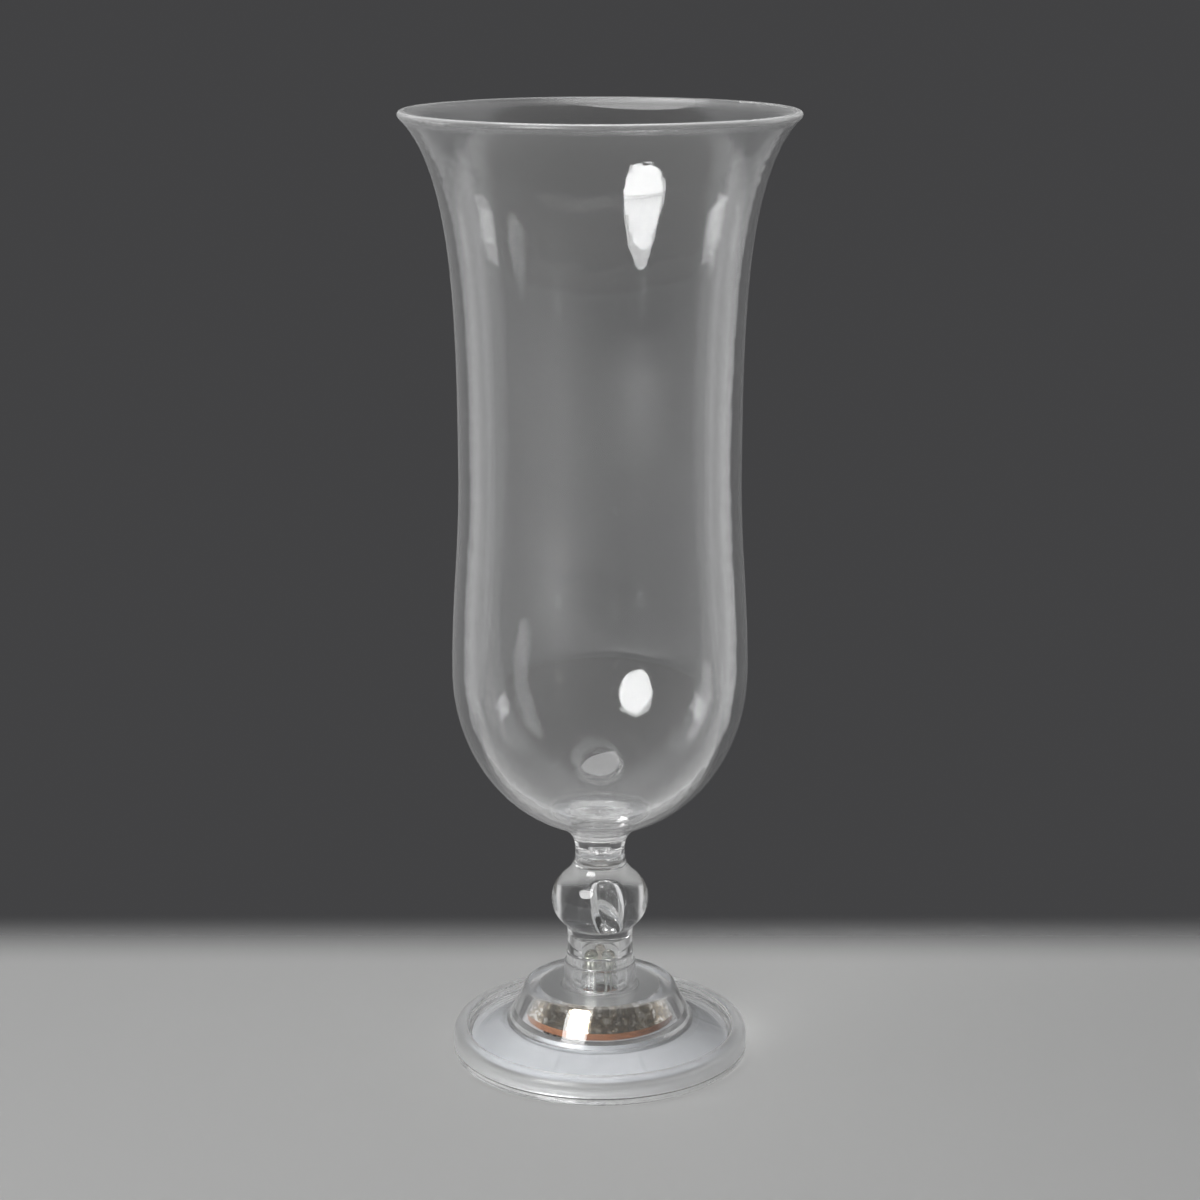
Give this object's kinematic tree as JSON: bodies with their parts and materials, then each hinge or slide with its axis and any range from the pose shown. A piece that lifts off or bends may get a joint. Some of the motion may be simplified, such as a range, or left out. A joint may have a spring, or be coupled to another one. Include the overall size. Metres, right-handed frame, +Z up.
{
  "type": "hurricane glass",
  "caption": "Clear plastic hurricane glass: tall flared bowl on a ball stem, with a battery light in its domed foot, worked by a push button in the battery door underneath.",
  "frame": {"origin": "on the axis of the glass, in the plane of the ring that it stands on", "axes": "+Z up the axis of the glass to the mouth, -Y towards the camera of the picture, +X to its right"},
  "size_m": [0.0888, 0.0888, 0.22],
  "materials": {
    "clear_plastic": "clear, polished moulding",
    "frosted_film": "frosted, translucent",
    "silvered": "vacuum-silvered, bright",
    "phenolic_board": "bare phenolic board, cut edge",
    "led_red_lens": "clear lens, faint red",
    "led_green_lens": "clear lens, faint green",
    "led_blue_lens": "clear lens, faint blue",
    "tinned_wire": "tinned, dull",
    "epoxy": "cured epoxy drop",
    "resistor_ceramic": "fired, dull",
    "switch_plastic": "moulded, dull",
    "plunger_plastic": "moulded, dull",
    "button_plastic": "moulded, satin",
    "holder_plastic": "moulded, natural white",
    "black_plastic": "moulded, fine texture",
    "cell_steel": "nickel-plated",
    "contact_brass": "sprung strip",
    "seal_rubber": "moulded ring",
    "screw_steel": "zinc-plated"
  },
  "bodies": {
    "glass": {"bowl": "clear_plastic", "stem": "clear_plastic", "foot": "clear_plastic", "bottom_cover": "clear_plastic", "diffuser_ring": "frosted_film", "reflector_cup": "silvered", "circuit_board": "phenolic_board", "led_red": "led_red_lens", "led_green": "led_green_lens", "led_blue": "led_blue_lens", "led_leads": "tinned_wire", "switch_pins": "tinned_wire", "controller_chip": "epoxy", "resistors": "resistor_ceramic", "switch_body": "switch_plastic", "battery_holder": "holder_plastic", "button_cell_a": "cell_steel", "button_cell_b": "cell_steel", "button_cell_c": "cell_steel", "cell_spring_a": "contact_brass", "cell_spring_b": "contact_brass", "cell_spring_c": "contact_brass", "return_post": "contact_brass"},
    "battery_door": {"battery_door": "black_plastic", "door_screws": "screw_steel", "door_seal": "seal_rubber", "lower_contact_link": "contact_brass", "lower_contact_return": "contact_brass"},
    "power_button": {"power_button": "button_plastic"},
    "switch_plunger": {"switch_plunger": "plunger_plastic"}
  },
  "joints": [
    {"name": "door_lift_off", "type": "slide", "parent": "glass", "child": "battery_door", "axis": [0, 0, -1], "range_m": [0, 0.012]},
    {"name": "button_press", "type": "slide", "parent": "battery_door", "child": "power_button", "axis": [0, 0, 1], "range_m": [0, 0.0006], "stiffness_N_per_m": 800},
    {"name": "plunger_press", "type": "slide", "parent": "glass", "child": "switch_plunger", "axis": [0, 0, 1], "range_m": [0, 0.0006]}
  ],
  "couplings": [
    {"joint": "plunger_press", "follows": "button_press", "ratio": 1}
  ]
}
